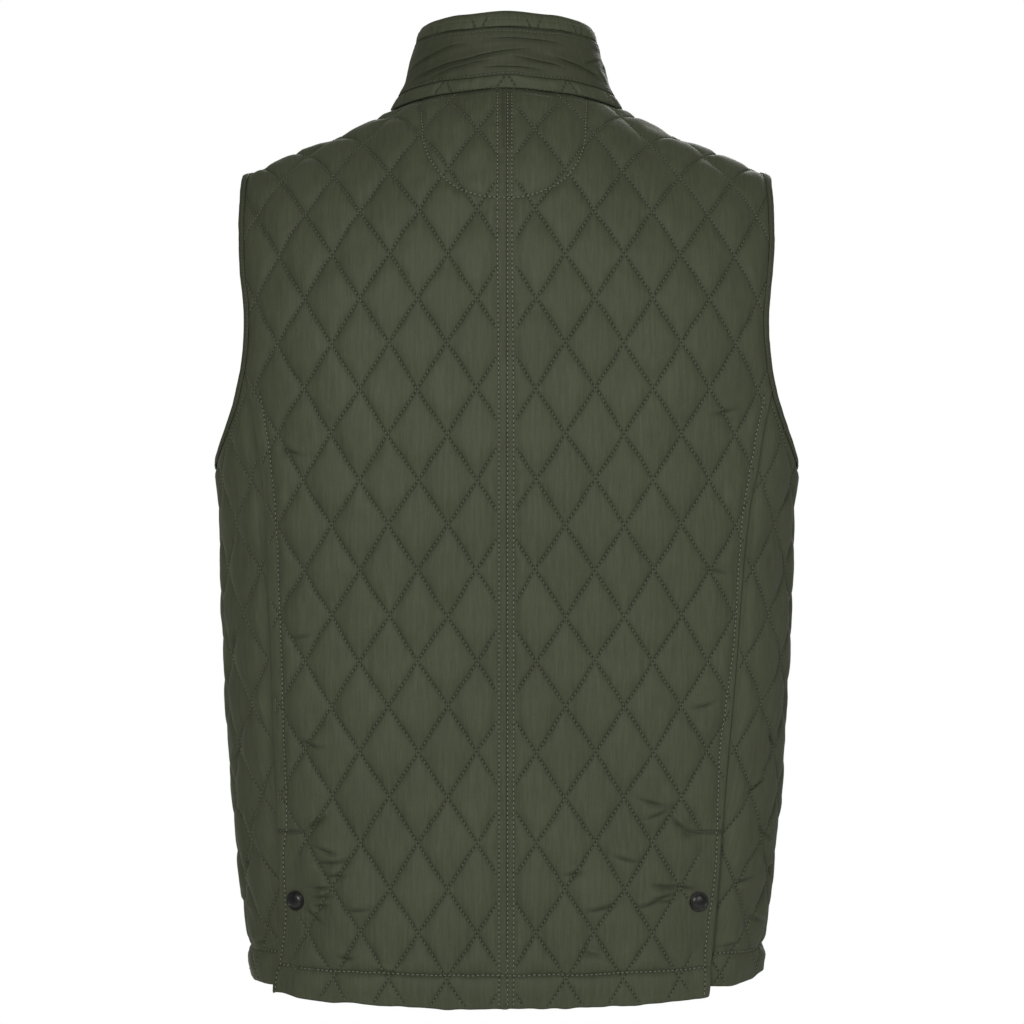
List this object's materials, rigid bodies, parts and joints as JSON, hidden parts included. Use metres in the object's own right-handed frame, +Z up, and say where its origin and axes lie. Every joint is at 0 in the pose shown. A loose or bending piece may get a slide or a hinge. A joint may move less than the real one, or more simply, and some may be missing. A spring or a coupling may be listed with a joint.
{
  "type": "quilted vest",
  "caption": "Sleeveless diamond-quilted vest with a stand collar, snapped side vents and lapped front, in its hollow worn form.",
  "frame": {"origin": "middle of the neck, at the height where the shoulders meet the collar", "axes": "+Z up, +Y out of the back, -Y out of the front, +X to the wearer's left"},
  "size_m": [0.456, 0.2537, 0.7602],
  "materials": {
    "quilted_cloth": "dark olive quilted polyester, fine slub weave, faint sheen",
    "plain_cloth": "dark olive plain polyester, fine weave",
    "studs": "black gunmetal, satin"
  },
  "bodies": {
    "root": {"back_left": "quilted_cloth", "back_right": "quilted_cloth", "front_left": "quilted_cloth", "front_right": "quilted_cloth", "collar": "quilted_cloth", "collar_band": "plain_cloth", "armhole_binding_left": "plain_cloth", "armhole_binding_right": "plain_cloth", "vent_stud_left": "studs", "vent_stud_right": "studs", "front_stud_1": "studs", "front_stud_2": "studs", "front_stud_3": "studs", "front_stud_4": "studs", "front_stud_5": "studs", "front_stud_6": "studs", "collar_stud": "studs"}
  },
  "joints": []
}
